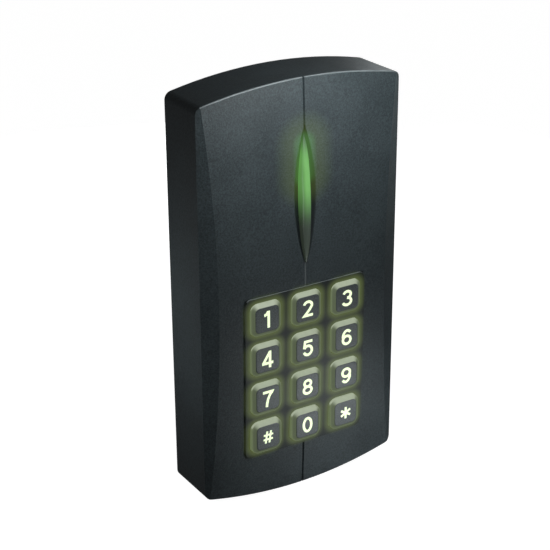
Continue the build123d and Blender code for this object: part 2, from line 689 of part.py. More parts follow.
def status_leds():
    """Two-colour LEDs under the light pipe's foot."""
    leds = []
    for side in (-1, 1):
        y = status_led_y() + side * STATUS_LED_PITCH / 2
        top = BOARD_FRONT + STATUS_LED_HEIGHT
        package = block(STATUS_LED_WIDTH, STATUS_LED, BOARD_FRONT, top, 0, y)
        well = rod(STATUS_LED_WELL, top - STATUS_LED_WELL_DEPTH, top + 1, 0, y)
        leds.append(package - well)
    return Compound(children=leds)


def ring(width, height, corner, wall, low, high):
    """An upright-walled ring round the light pipe."""
    outside = rounded(width, height, corner, 0, LENS_CENTRE_Y)
    inside = rounded(width - 2 * wall, height - 2 * wall, corner - wall, 0, LENS_CENTRE_Y)
    return slab(outside, low, high) - slab(inside, low - 1, high + 1)


def coil_former():
    """Open spool on the board's front that carries the antenna's winding."""
    whole = FORMER_WALL + COIL_BUILD
    width = COIL_WIDTH - 2 * COIL_BUILD
    height = COIL_HEIGHT - 2 * COIL_BUILD
    spool = ring(width, height, COIL_CORNER - COIL_BUILD, FORMER_WALL, BOARD_FRONT, FORMER_FRONT)
    for low in (BOARD_FRONT, FORMER_FRONT - FORMER_FLANGE):
        spool = spool + ring(COIL_WIDTH, COIL_HEIGHT, COIL_CORNER, whole, low, low + FORMER_FLANGE)
    return spool


def antenna_coil():
    low = BOARD_FRONT + FORMER_FLANGE
    return ring(
        COIL_WIDTH - 2 * COIL_SLACK,
        COIL_HEIGHT - 2 * COIL_SLACK,
        COIL_CORNER - COIL_SLACK,
        COIL_BUILD - COIL_SLACK,
        low,
        low + COIL_DEPTH,
    )


# ---- Parts on the back of the board -------------------------------------------------------------


def from_top(distance):
    return HEIGHT / 2 - distance


def under_terminals(distance):
    return TERMINAL_Y - TERMINAL_DEPTH / 2 - distance


def on_back(size, x, y, stand_off=0.0):
    """A block on the board's back, its size given as width, height and how far it stands out."""
    width, height, tall = size
    return block(width, height, BOARD_BACK - tall, BOARD_BACK - stand_off, x, y)


def back_edges(shape):
    """The edges of the face that lies furthest from the board's back."""
    return shape.faces().sort_by(Axis.Z)[0].edges()


def chip(size, x, y, legs):
    """A moulded package with a row of legs down its left and right sides."""
    width, _, tall = size
    package = on_back(size, x, y, PACKAGE_STAND_OFF)
    package = chamfer(back_edges(package), PACKAGE_CHAMFER)
    leg_size = (LEG_LENGTH, LEG_WIDTH, tall / 2)
    out = (width + LEG_LENGTH) / 2 - LEG_OVERLAP
    for leg_x in (x - out, x + out):
        for number in range(legs):
            package = package + on_back(leg_size, leg_x, y + (number - (legs - 1) / 2) * LEG_PITCH)
    return package


def microcontroller():
    y = from_top(MICROCONTROLLER_FROM_TOP)
    return chip(MICROCONTROLLER_SIZE, RIGHT_COLUMN_X, y, MICROCONTROLLER_LEGS)


def reader_chip():
    return chip(READER_CHIP_SIZE, LEFT_COLUMN_X, from_top(READER_CHIP_FROM_TOP), READER_CHIP_LEGS)


def voltage_regulator():
    """Regulator with a metal tab and two legs."""
    x, y = -OUTER_COLUMN_X, under_terminals(POWER_UNDER_TERMINALS)
    body = on_back(REGULATOR_SIZE, x, y, PACKAGE_STAND_OFF)
    body = chamfer(back_edges(body), REGULATOR_CHAMFER)
    body = body + on_back(REGULATOR_TAB, x, y + REGULATOR_TAB_PLACE)
    for side in (-1, 1):
        body = body + on_back(REGULATOR_LEG, x + side * REGULATOR_LEG_PITCH / 2, y - REGULATOR_LEG_PLACE)
    return body


def crystal():
    """Metal-can crystal lying on the board."""
    x, y = RIGHT_COLUMN_X, from_top(CRYSTAL_FROM_TOP)
    width, height, tall = CRYSTAL_SIZE
    rim_width, rim_height, rim_tall = CRYSTAL_RIM
    can = slab(rounded(width, height, height / 2 - 0.1, x, y), BOARD_BACK - tall, BOARD_BACK)
    rim = slab(rounded(rim_width, rim_height, rim_height / 2 - 0.1, x, y), BOARD_BACK - rim_tall, BOARD_BACK)
    return fillet(back_edges(can + rim), CRYSTAL_ROUND)


def capacitors():
    """Electrolytic cans on their square bases."""
    cans = []
    left = (-OUTER_COLUMN_X, under_terminals(CAPACITOR_UNDER_TERMINALS))
    right = (OUTER_COLUMN_X, under_terminals(POWER_UNDER_TERMINALS))
    for x, y in (left, right):
        base = on_back(CAPACITOR_BASE, x, y)
        can = rod(CAPACITOR_CAN, BOARD_BACK - CAPACITOR_HEIGHT, BOARD_BACK - CAPACITOR_BASE[2], x, y)
        cans.append(base + fillet(back_edges(can), CAPACITOR_ROUND))
    return Compound(children=cans)


def chip_resistors():
    """Small surface-mount parts in two columns above the terminals."""
    across, up = RESISTOR_PITCH
    parts = []
    for column in range(2):
        for row in range(RESISTOR_ROWS):
            x = -OUTER_COLUMN_X + column * across
            y = TERMINAL_Y + RESISTORS_ABOVE_TERMINALS + row * up
            parts.append(on_back(RESISTOR_SIZE, x, y))
    return Compound(children=parts)


def buzzer():
    """Sounder with its sound hole facing the wall."""
    y = from_top(BUZZER_FROM_TOP)
    low = BOARD_BACK - BUZZER_HEIGHT
    can = rod(BUZZER_DIAMETER, low, BOARD_BACK, 0, y)
    can = fillet(back_edges(can), BUZZER_ROUND)
    return can - rod(BUZZER_HOLE, low - 1, low + BUZZER_HOLE_DEPTH, 0, y)


def pole_places():
    return [(number - (POLES - 1) / 2) * POLE_PITCH for number in range(POLES)]


def terminal_block():
    """Row of screw terminals: wires enter from above, and the screws face the wall."""
    width = POLES * POLE_PITCH + 2 * TERMINAL_MARGIN
    low = BOARD_BACK - TERMINAL_HEIGHT
    body = block(width, TERMINAL_DEPTH, low, BOARD_BACK, 0, TERMINAL_Y)
    top = TERMINAL_Y + TERMINAL_DEPTH / 2
    ridge = body.edges().filter_by(Axis.X).sort_by(lambda edge: edge.center().Z - edge.center().Y)[0]
    body = chamfer([ridge], TERMINAL_CHAMFER)
    well = TERMINAL_SCREW_LENGTH + TERMINAL_SCREW_SINK
    entry_high = BOARD_BACK - WIRE_ENTRY_SILL
    for x in pole_places():
        entry = block(WIRE_ENTRY, 2 * WIRE_ENTRY_DEPTH, entry_high - WIRE_ENTRY, entry_high, x, top)
        screw_well = rod(
            TERMINAL_SCREW + 2 * FIT_GAP, low - 1, low + well, x, TERMINAL_Y - TERMINAL_SCREW_DROP
        )
        body = body - entry - screw_well
    return body


def terminal_screws():
    low = BOARD_BACK - TERMINAL_HEIGHT + TERMINAL_SCREW_SINK
    screws = []
    y = TERMINAL_Y - TERMINAL_SCREW_DROP
    width, depth = TERMINAL_SCREW_SLOT
    for x in pole_places():
        screw = rod(TERMINAL_SCREW, low, low + TERMINAL_SCREW_LENGTH, x, y)
        slot = Pos(x, y, low) * Box(2 * TERMINAL_SCREW, width, 2 * depth)
        screws.append(screw - slot)
    return Compound(children=screws)


def tamper_switch():
    body = block(TAMPER_SIZE, TAMPER_SIZE, TAMPER_BACK, BOARD_BACK, TAMPER_X, TAMPER_Y)
    body = chamfer(body.edges().filter_by(Axis.Z), TAMPER_CORNER)
    well = TAMPER_PLUNGER + 2 * TAMPER_CLEARANCE
    return body - rod(well, TAMPER_BACK - 1, BOARD_BACK - TAMPER_FLOOR, TAMPER_X, TAMPER_Y)


def tamper_plunger():
    """Held in by the plate's post while the reader is closed; it springs out as the reader opens."""
    foot = BOARD_BACK - TAMPER_FLOOR - FIT_GAP
    plunger = rod(TAMPER_PLUNGER, TAMPER_TIP, foot, TAMPER_X, TAMPER_Y)
    return fillet(back_edges(plunger), TAMPER_TIP_ROUND)


# ---- Mounting plate ---------------------------------------------------------------------------------


def hooks():
    """Two hooks at the plate's top that reach behind the housing's ledges."""
    front = ledge_front() + LEDGE_GAP
    top = cavity_top(HOOK_X) - LEDGE_HEIGHT + HOOK_HOLD
    bottom = top - HOOK_HOLD - LEDGE_GAP - HOOK_NECK
    arm = block(HOOK_WIDTH, HOOK_NECK, 0, front + HOOK_THICKNESS, 0, bottom + HOOK_NECK / 2)
    finger = block(HOOK_WIDTH, top - bottom, front, front + HOOK_THICKNESS, 0, (top + bottom) / 2)
    lead_in = finger.edges().filter_by(Axis.X).sort_by(lambda edge: edge.center().Y - edge.center().Z)[-1]
    hook = arm + chamfer([lead_in], HOOK_LEAD_IN)
    return Pos(-HOOK_X, 0) * hook + Pos(HOOK_X, 0) * hook


def lock_tab():
    high = LOCK_DEPTH + LOCK_TAB_MARGIN
    middle = LOCK_TAB_Y + LOCK_TAB_THICKNESS / 2
    tab = block(LOCK_TAB_WIDTH, LOCK_TAB_THICKNESS, 0, high, 0, middle)
    reach = high - PLATE_THICKNESS - LOCK_TAB_SHOULDER
    gusset = make_face(Polyline((0, 0), (reach, 0), (0, reach), (0, 0)))
    rib = extrude(Plane.YZ * gusset, RIB_WIDTH / 2, both=True)
    for side in (-1, 1):
        x = side * (LOCK_TAB_WIDTH - RIB_WIDTH) / 2
        tab = tab + Pos(x, LOCK_TAB_Y + LOCK_TAB_THICKNESS, PLATE_THICKNESS) * rib
    far_side = LOCK_TAB_Y + LOCK_TAB_THICKNESS
    return tab - along_lock(LOCK_SHANK + 2 * LOCK_CLEARANCE, LOCK_TAB_Y - 1, far_side + 1)


def stiffening_ribs():
    """A low rim round the plate's inner side, open at the hooks and at the lock's tab."""
    edge = SIDE_WALL + PLATE_GAP + RIM_INSET
    high = PLATE_THICKNESS + RIB_HEIGHT
    rim = slab(outline(edge), PLATE_THICKNESS, high) - slab(outline(edge + RIB_WIDTH), 0, high + 1)
    tall = 2 * (edge + END_RISE + RIB_WIDTH)
    for side in (-1, 1):
        rim = rim - block(HOOK_WIDTH + 2, tall, PLATE_THICKNESS, BOARD_BACK, side * HOOK_X, HEIGHT / 2)
    return rim - block(LOCK_TAB_WIDTH + 4, tall, PLATE_THICKNESS, BOARD_BACK, 0, BASE_Y)


def pocket_places():
    x = WIDTH / 2 - POCKET_FROM_SIDE - POCKET_WIDTH / 2
    step = POCKET_HEIGHT + POCKET_RIB
    return both_sides([(x, row * step) for row in (-1, 0, 1)])


def base_plate():
    plate = slab(outline(SIDE_WALL + PLATE_GAP), 0, PLATE_THICKNESS)
    plate = plate + stiffening_ribs() + hooks() + lock_tab()
    plate = plate + rod(TAMPER_POST, 0, PLATE_THICKNESS + TAMPER_POST_HEIGHT, TAMPER_X, TAMPER_Y)
    for side in (-1, 1):
        y = side * SCREW_SPACING / 2
        plate = plate - rod(SCREW_HOLE, -1, PLATE_THICKNESS + 1, 0, y)
        plate = plate - rod(SCREW_SEAT, PLATE_THICKNESS - SCREW_SEAT_DEPTH, PLATE_THICKNESS + 1, 0, y)
    for x, y in pocket_places():
        plate = plate - slab(rounded(POCKET_WIDTH, POCKET_HEIGHT, POCKET_CORNER, x, y), -1, POCKET_DEPTH)
    plate = plate - rod(GROMMET_HOLE, -1, PLATE_THICKNESS + 1, 0, CABLE_HOLE_Y)
    return plate - rod(GROMMET_HOLE + 2 * GROMMET_FLANGE + 2 * FIT_GAP, -1, GROMMET_LIP, 0, CABLE_HOLE_Y)


def cable_grommet():
    """Rubber bush in the plate's cable hole, a hair inside the wall face."""
    flange = GROMMET_HOLE + 2 * GROMMET_FLANGE
    back = rod(flange, GROMMET_SINK, GROMMET_LIP, 0, CABLE_HOLE_Y)
    neck = rod(GROMMET_HOLE, GROMMET_LIP, PLATE_THICKNESS, 0, CABLE_HOLE_Y)
    front = rod(flange, PLATE_THICKNESS, PLATE_THICKNESS + GROMMET_LIP, 0, CABLE_HOLE_Y)
    front = chamfer(front.faces().sort_by(Axis.Z)[-1].edges(), GROMMET_CHAMFER)
    return back + neck + front - rod(CABLE_BORE, -1, PLATE_THICKNESS + 2, 0, CABLE_HOLE_Y)


# ---- The assembly ---------------------------------------------------------------------------------------

PIECES = {
    "front_cover": front_cover,
    "light_pipe": light_pipe,
    "lock_insert": lock_insert,
    "lock_screw": lock_screw,
    "circuit_board": circuit_board,
    "board_screws": board_screws,
    "contact_pads": contact_pads,
    "keymat": keymat,
    "keypad_leds": keypad_leds,
    "status_leds": status_leds,
    "coil_former": coil_former,
    "antenna_coil": antenna_coil,
    "microcontroller": microcontroller,
    "reader_chip": reader_chip,
    "voltage_regulator": voltage_regulator,
    "crystal": crystal,
    "capacitors": capacitors,
    "chip_resistors": chip_resistors,
    "buzzer": buzzer,
    "terminal_block": terminal_block,
    "terminal_screws": terminal_screws,
    "tamper_switch": tamper_switch,
    "tamper_plunger": tamper_plunger,
    "base_plate": base_plate,
    "cable_grommet": cable_grommet,
}


def build():
    os.makedirs("parts", exist_ok=True)
    shapes = {name: make() for name, make in PIECES.items()}
    for name, x, y in key_places():
        shapes["key_" + name] = key_cap(x, y)
        shapes["contact_pill_" + name] = contact_pill(x, y)
    for name, shape in shapes.items():
        export_step(turned_upright(shape), f"parts/{name}.step")


build()
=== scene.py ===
# Wall-mounted proximity card reader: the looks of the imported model. Everything is in metres, in the
# model's own frame: +Z is up the wall, the front faces -Y, and the wall is at y = 0.

import json
import math

import bmesh
import bpy
from mathutils import Matrix, Vector


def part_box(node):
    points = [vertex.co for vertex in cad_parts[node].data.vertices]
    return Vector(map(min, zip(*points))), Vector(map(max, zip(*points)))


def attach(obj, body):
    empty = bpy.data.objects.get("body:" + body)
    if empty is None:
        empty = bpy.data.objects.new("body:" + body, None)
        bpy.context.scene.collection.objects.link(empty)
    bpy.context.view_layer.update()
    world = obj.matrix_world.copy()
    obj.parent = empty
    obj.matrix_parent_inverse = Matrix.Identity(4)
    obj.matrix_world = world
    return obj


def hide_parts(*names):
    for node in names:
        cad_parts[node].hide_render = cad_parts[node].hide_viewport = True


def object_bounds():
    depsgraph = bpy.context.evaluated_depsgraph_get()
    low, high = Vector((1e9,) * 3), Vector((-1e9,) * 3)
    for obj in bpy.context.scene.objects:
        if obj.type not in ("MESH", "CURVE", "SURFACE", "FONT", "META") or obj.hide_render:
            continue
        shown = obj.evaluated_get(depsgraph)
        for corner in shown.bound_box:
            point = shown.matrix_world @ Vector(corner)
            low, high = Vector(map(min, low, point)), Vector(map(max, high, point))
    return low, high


MM = 0.001

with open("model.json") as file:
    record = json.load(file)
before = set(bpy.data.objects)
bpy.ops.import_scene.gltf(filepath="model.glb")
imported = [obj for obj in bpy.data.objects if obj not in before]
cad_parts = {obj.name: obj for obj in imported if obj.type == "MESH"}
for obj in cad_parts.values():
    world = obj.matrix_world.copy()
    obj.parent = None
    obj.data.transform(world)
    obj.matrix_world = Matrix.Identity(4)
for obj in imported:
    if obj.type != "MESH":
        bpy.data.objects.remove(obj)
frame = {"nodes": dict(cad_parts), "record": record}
cad_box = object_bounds()
nodes = frame["nodes"]
scene = bpy.context.scene


# ---- Places read from the frame ---------------------------------------------------------


def middle(node):
    low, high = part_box(node)
    return (Vector(low) + Vector(high)) / 2


def extent(node):
    low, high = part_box(node)
    return Vector(high) - Vector(low)


KEY_LEGENDS = {name[4:]: name for name in nodes if name.startswith("key_")}
KEY_PITCH_X = middle("key_3").x - middle("key_2").x
KEY_PITCH_Z = middle("key_2").z - middle("key_5").z
KEYPAD_MIDDLE_Z = (middle("key_2").z + middle("key_0").z) / 2
KEY_FACE_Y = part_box("key_5")[0][1]
KEY_FLANGE = 0.8 * MM
KEY_WIDTH = extent("key_5").x - 2 * KEY_FLANGE
KEY_HEIGHT = extent("key_5").z - 2 * KEY_FLANGE
KEY_CORNER = 2.5 * MM
CAPACITOR_BASE = 6.6 * MM
RESISTOR_LENGTH = 2.0 * MM
BOARD_FRONT_Y, BOARD_BACK_Y = (corner[1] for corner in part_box("circuit_board"))

LENS_FLANGE = 1.7 * MM
LENS_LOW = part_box("light_pipe")[0][2] + LENS_FLANGE
LENS_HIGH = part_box("light_pipe")[1][2] - LENS_FLANGE
LIT_LOW_Z = LENS_LOW + 0.69 * (LENS_HIGH - LENS_LOW)  # the brightest stretch of the status light
LIT_HIGH_Z = LENS_LOW + 0.93 * (LENS_HIGH - LENS_LOW)

PANEL_MARGIN = 1.75 * MM
PANEL_BLUR = 0.2 * MM
PANEL_HALF_WIDTH = KEY_PITCH_X + KEY_WIDTH / 2 + PANEL_MARGIN
PANEL_HALF_HEIGHT = 1.5 * KEY_PITCH_Z + KEY_HEIGHT / 2 + PANEL_MARGIN
PANEL_TOP_Z = KEYPAD_MIDDLE_Z + PANEL_HALF_HEIGHT

DISH_WIDTH = 7.8 * MM
DISH_ABOVE, DISH_BELOW = 3.2 * MM, 1.5 * MM  # dish beyond the lens's tips
DISH_LENGTH = LENS_HIGH - LENS_LOW + DISH_ABOVE + DISH_BELOW
DISH_MIDDLE_Z = (LENS_HIGH + DISH_ABOVE + LENS_LOW - DISH_BELOW) / 2

# A pattern on the front is drawn only on what is further than this from the wall.
DISH_FLOOR = 15 * MM
GLOW_FLOOR = 16 * MM
SEAM_FLOOR = 17 * MM
PANEL_FLOOR = 18 * MM

# Where the edges are that get the painted highlight.
ARCH_EDGE_Y = -18.0 * MM
ARCH_EDGE_Z = 59.5 * MM
PANEL_EDGE_Y = -19.4 * MM

# ---- Camera, lights and floor -----------------------------------------------------------

CAMERA_YAW = -32.03  # degrees, as the next two are
CAMERA_PITCH = 23.31
CAMERA_ROLL = -0.314
CAMERA_DISTANCE = 0.46097
CAMERA_LENS = 99.21  # millimetres, for a sensor of this width
CAMERA_SENSOR = 36
CAMERA_SHIFT_RIGHT = 1.676 * MM  # of the point looked at, from the origin
CAMERA_SHIFT_UP = -1.602 * MM


def make_camera():
    """Looks from the upper left of the front, with the line of sight moved a little off the origin."""
    yaw, pitch, roll = (math.radians(angle) for angle in (CAMERA_YAW, CAMERA_PITCH, CAMERA_ROLL))
    back = Vector((math.sin(yaw) * math.cos(pitch), -math.cos(yaw) * math.cos(pitch), math.sin(pitch)))
    right = (-back).cross(Vector((0, 0, 1))).normalized()
    up = right.cross(-back)
    rolled_right = math.cos(roll) * right + math.sin(roll) * up
    rolled_up = math.cos(roll) * up - math.sin(roll) * right
    target = CAMERA_SHIFT_RIGHT * rolled_right + CAMERA_SHIFT_UP * rolled_up
    data = bpy.data.cameras.new("camera")
    data.lens = CAMERA_LENS
    data.sensor_width = CAMERA_SENSOR
    data.clip_start, data.clip_end = 0.01, 20
    camera = bpy.data.objects.new("camera", data)
    scene.collection.objects.link(camera)
    turn = Matrix((rolled_right, rolled_up, back)).transposed().to_4x4()
    camera.matrix_world = Matrix.Translation(target + back * CAMERA_DISTANCE) @ turn
    scene.camera = camera


COOL_WHITE = (0.93, 0.99, 1.0)
SOFTBOXES = {  # place, side, power in watts, what it is aimed at, and the angle that its light spreads over
    "upper_softbox": ((0.003, -0.075, 0.08), 0.05, 0.084, (0, 0, 0.055), 180),
    "upper_right_spot": ((0.03, -0.14, 0.13), 0.05, 0.007, (0.015, 0, 0.058), 40),
    "lower_right_softbox": ((0.034, -0.075, -0.064), 0.05, 0.016, (0.015, 0, -0.06), 180),
    "low_fill": ((0.05, -0.12, -0.058), 0.04, 0.008, (0.005, 0, -0.06), 50),
    "left_softbox": ((-0.12, 0.02, -0.01), 0.06, 0.019, (-0.034, 0, 0), 180),
    "left_spot": ((-0.12, -0.01, -0.015), 0.05, 0.004, (-0.034, 0, -0.005), 50),
    "top_right_spot": ((0.085, 0.03, 0.085), 0.03, 0.0014, (0.032, -0.01, 0.065), 60),
    "right_softbox": ((0.32, 0.12, 0.02), 0.26, 0.16, (0.034, 0, 0), 120),
    "back_softbox": ((0.12, 0.34, -0.01), 0.11, 0.4, (0, 0, 0), 120),
}
WORLD_LIGHT = 0.085  # what the white room adds all round
FLOOR_SIZE = 6
FLOOR_GAP = 0.2 * MM
PAPER_GREY = 0.3
PAPER_GLOW = 0.97


def softbox(name, place, side, power, look_at, spread):
    """A square lamp that faces look_at and doesn't show in the picture itself."""
    data = bpy.data.lights.new(name, "AREA")
    data.size = side
    data.energy = power
    data.color = COOL_WHITE
    data.spread = math.radians(spread)
    light = bpy.data.objects.new(name, data)
    scene.collection.objects.link(light)
    light.location = place
    aim = Vector(look_at) - Vector(place)
    light.rotation_mode = "QUATERNION"
    light.rotation_quaternion = aim.to_track_quat("-Z", "Y")
    light.visible_camera = False


def make_world():
    """A room that looks white, and lights the object much less than it looks."""
    world = bpy.data.worlds.new("studio")
    world.use_nodes = True
    scene.world = world
    tree = world.node_tree
    light_path = tree.nodes.new("ShaderNodeLightPath")
    background = tree.nodes["Background"]
    background.inputs["Color"].default_value = (1, 1, 1, 1)
    strength = tree.nodes.new("ShaderNodeMapRange")
    strength.inputs["To Min"].default_value = WORLD_LIGHT
    strength.inputs["To Max"].default_value = 1.0
    tree.links.new(light_path.outputs["Is Camera Ray"], strength.inputs["Value"])
    tree.links.new(strength.outputs["Result"], background.inputs["Strength"])
    scene.view_settings.view_transform = "Standard"


def make_floor():
    """White paper under the object, which adds no light of its own to it."""
    bpy.ops.mesh.primitive_plane_add(size=FLOOR_SIZE, location=(0, 0, cad_box[0].z - FLOOR_GAP))
    floor = bpy.context.object
    floor.name = "studio_floor"
    floor.visible_glossy = False
    floor.visible_diffuse = False
    paper = bpy.data.materials.new("pale_floor")
    paper.use_nodes = True
    shader = paper.node_tree.nodes["Principled BSDF"]
    shader.inputs["Base Color"].default_value = (PAPER_GREY, PAPER_GREY, PAPER_GREY, 1)
    shader.inputs["Roughness"].default_value = 0.9
    shader.inputs["Specular IOR Level"].default_value = 0.0
    shader.inputs["Emission Color"].default_value = (1, 1, 1, 1)
    shader.inputs["Emission Strength"].default_value = PAPER_GLOW
    floor.data.materials.append(paper)


def make_studio():
    for name, settings in SOFTBOXES.items():
        softbox(name, *settings)
    make_world()
    make_floor()


# ---- Shader building blocks ---------------------------------------------------------------


def scaled(colour, factor):
    """The colour made lighter or darker, with no channel above 1."""
    return tuple(min(1.0, channel * factor) for channel in colour)


class Shader:
    """A material's node tree, with short ways to write the sums that its patterns need."""

    def __init__(self, name, colour, roughness, **sockets):
        self.material = bpy.data.materials.new(name)
        self.material.use_nodes = True
        self.tree = self.material.node_tree
        self.principled = self.tree.nodes["Principled BSDF"]
        self.principled.inputs["Base Color"].default_value = (*colour, 1)
        self.principled.inputs["Roughness"].default_value = roughness
        for socket, value in sockets.items():
            self.principled.inputs[socket.replace("_", " ")].default_value = value
        self.places = self.node("ShaderNodeTexCoord").outputs["Object"]
        split = self.node("ShaderNodeSeparateXYZ", Vector=self.places)
        self.x, self.y, self.z = split.outputs

    def node(self, kind, **sockets):
        made = self.tree.nodes.new(kind)
        for socket, value in sockets.items():
            self.feed(made.inputs[socket.replace("_", " ")], value)
        return made

    def feed(self, socket, value):
        if isinstance(value, bpy.types.NodeSocket):
            self.tree.links.new(value, socket)
        else:
            socket.default_value = value

    def maths(self, operation, *values):
        made = self.tree.nodes.new("ShaderNodeMath")
        made.operation = operation
        for socket, value in zip(made.inputs, values):
            self.feed(socket, value)
        return made.outputs[0]

    def times(self, first, second):
        return self.maths("MULTIPLY", first, second)

    def minus(self, first, second):
        return self.maths("SUBTRACT", first, second)

    def larger(self, first, second):
        return self.maths("MAXIMUM", first, second)

    def away(self, value, place=0.0):
        """How far value is from place, either way."""
        return self.maths("ABSOLUTE", self.minus(value, place))

    def fade(self, value, start, end, start_value=0.0, end_value=1.0):
        """Goes smoothly from start_value to end_value as value goes from start to end."""
        if start > end:
            start, end, start_value, end_value = end, start, end_value, start_value
        made = self.node("ShaderNodeMapRange", Value=value)
        made.interpolation_type = "SMOOTHSTEP"
        limits = {"From Min": start, "From Max": end, "To Min": start_value, "To Max": end_value}
        for socket, number in limits.items():
            made.inputs[socket].default_value = number
        return made.outputs["Result"]

    def noise(self, size, detail=3.0, roughness=0.55, places=None):
        """Noise whose features are about size across."""
        settings = {"Scale": 1 / size, "Detail": detail, "Roughness": roughness}
        made = self.node("ShaderNodeTexNoise", Vector=places or self.places, **settings)
        return made.outputs["Fac"]

    def mix(self, factor, first, second):
        made = self.tree.nodes.new("ShaderNodeMix")
        made.data_type = "RGBA"
        self.feed(made.inputs["Factor"], factor)
        for socket, value in ((made.inputs[6], first), (made.inputs[7], second)):
            self.feed(socket, (*value, 1) if isinstance(value, tuple) else value)
        return made.outputs[2]

    def paint(self, colour):
        self.feed(self.principled.inputs["Base Color"], colour)

    def bump(self, height, depth):
        made = self.node("ShaderNodeBump", Height=height, Distance=depth, Strength=1.0)
        self.feed(self.principled.inputs["Normal"], made.outputs["Normal"])

    def roughen(self, value, low, high):
        self.feed(self.principled.inputs["Roughness"], self.fade(value, 0.3, 0.7, low, high))

    def glow(self, colour, strength=1.0):
        self.feed(self.principled.inputs["Emission Color"], colour)
        self.principled.inputs["Emission Strength"].default_value = strength

    def upward(self):
        """How much the surface faces up, from -1 to 1, before any bump."""
        normal = self.node("ShaderNodeTexCoord").outputs["Normal"]
        return self.node("ShaderNodeSeparateXYZ", Vector=normal).outputs["Z"]


# ---- Where things are on the housing --------------------------------------------------------


def key_distance(shader):
    """Distance in millimetres from the edge of the nearest key, seen from the front."""
    across = shader.maths("DIVIDE", shader.x, KEY_PITCH_X)
    column = shader.maths("ROUND", shader.maths("MINIMUM", shader.larger(across, -1.0), 1.0))
    above = shader.minus(shader.z, KEYPAD_MIDDLE_Z)
    up = shader.maths("DIVIDE", above, KEY_PITCH_Z)
    row = shader.maths("FLOOR", shader.maths("MINIMUM", shader.larger(up, -1.99), 1.99))
    row = shader.maths("ADD", row, 0.5)
    squares = []
    for place, step, pitch, half in (
        (shader.x, column, KEY_PITCH_X, KEY_WIDTH / 2),
        (above, row, KEY_PITCH_Z, KEY_HEIGHT / 2),
    ):
        away = shader.away(place, shader.times(step, pitch))
        past = shader.larger(shader.minus(away, half - KEY_CORNER), 0.0)
        squares.append(shader.maths("POWER", shader.times(past, 1 / MM), 2.0))
    reach = shader.maths("SQRT", shader.maths("ADD", *squares))
    return shader.minus(reach, KEY_CORNER / MM)


def lens_distance(shader):
    """Distance in millimetres from the lit part of the lens, taken as a line up the middle."""
    over = shader.larger(shader.minus(shader.z, LIT_HIGH_Z), 0.0)
    under = shader.larger(shader.minus(LIT_LOW_Z, shader.z), 0.0)
    along = shader.maths("ADD", over, under)
    squares = [shader.maths("POWER", side, 2.0) for side in (shader.x, along)]
    return shader.times(shader.maths("SQRT", shader.maths("ADD", *squares)), 1 / MM)


def dish_share(shader):
    """0 on the dish's middle line, 1 at its edge and more outside it."""
    along = shader.maths("DIVIDE", shader.minus(shader.z, DISH_MIDDLE_Z), DISH_LENGTH / 2)
    width = shader.times(shader.minus(1.0, shader.times(along, along)), DISH_WIDTH / 2)
    return shader.maths("DIVIDE", shader.away(shader.x), shader.larger(width, 0.02 * MM))


def on_front(shader, depth):
    """1 on surfaces further than depth from the wall, such as the front and what is cut into it."""
    return shader.fade(shader.y, -depth, -depth - 0.5 * MM)


def painted_panel_shade(shader):
    """1 on the keypad panel's face between the keys, where shade is painted darker."""
    across = shader.away(shader.x)
    above = shader.away(shader.z, KEYPAD_MIDDLE_Z)
    inside = shader.times(
        shader.fade(across, PANEL_HALF_WIDTH - PANEL_BLUR, PANEL_HALF_WIDTH, 1.0, 0.0),
        shader.fade(above, PANEL_HALF_HEIGHT - PANEL_BLUR, PANEL_HALF_HEIGHT, 1.0, 0.0),
    )
    return shader.times(inside, on_front(shader, PANEL_FLOOR))


def painted_dish_shade(shader):
    """1 in the dish round the status light, where its shade is painted darker."""
    return shader.times(shader.fade(dish_share(shader), 1.0, 0.85), on_front(shader, DISH_FLOOR))


def painted_seam_highlight(shader):
    """1 on the seam line between the dish and the keypad, where a paler line is painted as a highlight."""
    above_panel = shader.fade(shader.z, PANEL_TOP_Z, PANEL_TOP_Z + 0.3 * MM)
    below_dish = shader.fade(shader.z, LENS_LOW + 1 * MM, LENS_LOW + 2 * MM, 1.0, 0.0)
    line = shader.fade(shader.away(shader.x), 0.2 * MM, 0.32 * MM, 1.0, 0.0)
    stretch = shader.times(above_panel, below_dish)
    return shader.times(shader.times(stretch, line), on_front(shader, SEAM_FLOOR))


def painted_edge_highlight(shader):
    """Where the front's arched edges and the keypad panel's top edge are painted paler, a painted highlight
    of the light they catch.
    """
    upright = shader.upward()
    leaning = shader.away(upright)
    slanted = shader.times(shader.fade(leaning, 0.16, 0.4), shader.fade(leaning, 0.9, 0.98, 1.0, 0.0))
    front = shader.fade(shader.y, ARCH_EDGE_Y + 0.4 * MM, ARCH_EDGE_Y)
    ends = shader.fade(shader.away(shader.z), ARCH_EDGE_Z - 1.5 * MM, ARCH_EDGE_Z)
    arches = shader.times(shader.times(slanted, front), ends)
    facing_up = shader.fade(upright, 0.3, 0.6)
    proud = shader.fade(shader.y, PANEL_EDGE_Y + 0.2 * MM, PANEL_EDGE_Y)
    rim = shader.fade(shader.away(shader.z, PANEL_TOP_Z), 0.4 * MM, 0.7 * MM, 1.0, 0.0)
    return shader.larger(arches, shader.times(shader.times(facing_up, proud), rim))


def key_glow(shader):
    """How much of the keys' light falls on the panel round them."""
    near = shader.fade(key_distance(shader), -0.4, 3.2, 1.0, 0.0)
    return shader.times(shader.maths("POWER", near, 1.5), on_front(shader, PANEL_FLOOR))


def lens_glow(shader):
    """The status light's glow on the housing, green beside the lens and olive further out."""
    away = lens_distance(shader)
    light = shader.mix(shader.fade(away, 1.6, 4.6, 1.0, 0.0), LENS_GLOW_FAR, LENS_GLOW_NEAR)
    light = shader.mix(shader.fade(away, 4.3, 11.0, 1.0, 0.0), NO_GLOW, light)
    return shader.mix(on_front(shader, GLOW_FLOOR), NO_GLOW, light)


# ---- Materials --------------------------------------------------------------------------------

